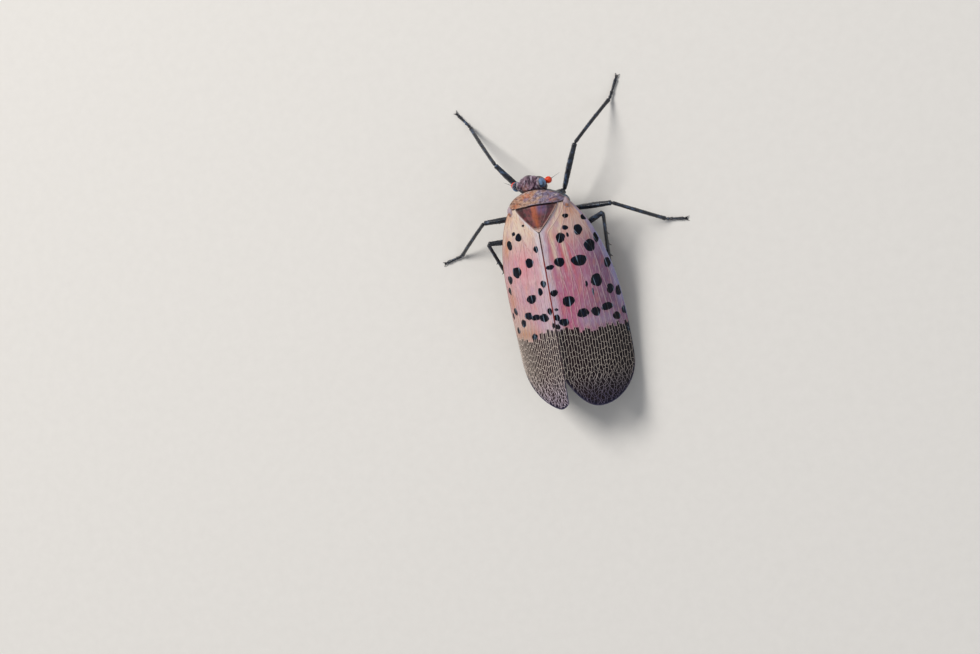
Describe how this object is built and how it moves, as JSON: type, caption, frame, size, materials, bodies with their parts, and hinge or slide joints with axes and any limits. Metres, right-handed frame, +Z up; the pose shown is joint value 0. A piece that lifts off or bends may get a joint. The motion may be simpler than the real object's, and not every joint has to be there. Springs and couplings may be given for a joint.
{
  "type": "spotted lanternfly",
  "caption": "Life-size spotted lanternfly at rest on its feet, spotted wings folded roof-wise over the body.",
  "frame": {"origin": "on the floor, under the middle of the model's box", "axes": "+Z up, head towards -Y, the insect's right side towards -X"},
  "size_m": [0.0276, 0.0347, 0.0084],
  "materials": {
    "wing": "satin, peach to mauve pink with blue-black spots, net-veined grey tip",
    "hindwing": "satin, red with black spots, white band and black tip",
    "plate": "satin, pinkish tan shell plate with orange patches",
    "scutellum": "satin, wine brown shell plate",
    "head": "matt, bumpy grey-mauve shell",
    "eye": "glossy slate blue facets",
    "antenna": "grainy bright orange-red",
    "thorax": "dark shell with grey wax bloom",
    "abdomen": "satin yellow with black bands",
    "leg": "glossy blue-black with a steel-blue bloom"
  },
  "bodies": {
    "root": {"head": "head", "rostrum": "thorax", "pronotum": "plate", "scutellum": "scutellum", "thorax": "thorax", "abdomen": "abdomen", "eye_right": "eye", "antenna_right": "antenna", "tegula_right": "plate", "forewing_right": "wing", "hindwing_right": "hindwing", "eye_left": "eye", "antenna_left": "antenna", "tegula_left": "plate", "forewing_left": "wing", "hindwing_left": "hindwing", "coxa_fore_right": "leg", "femur_fore_right": "leg", "tibia_fore_right": "leg", "tarsus_fore_right": "leg", "coxa_fore_left": "leg", "femur_fore_left": "leg", "tibia_fore_left": "leg", "tarsus_fore_left": "leg", "coxa_middle_right": "leg", "femur_middle_right": "leg", "tibia_middle_right": "leg", "tarsus_middle_right": "leg", "coxa_middle_left": "leg", "femur_middle_left": "leg", "tibia_middle_left": "leg", "tarsus_middle_left": "leg", "coxa_hind_right": "leg", "femur_hind_right": "leg", "tibia_hind_right": "leg", "tarsus_hind_right": "leg", "coxa_hind_left": "leg", "femur_hind_left": "leg", "tibia_hind_left": "leg", "tarsus_hind_left": "leg"}
  },
  "joints": []
}
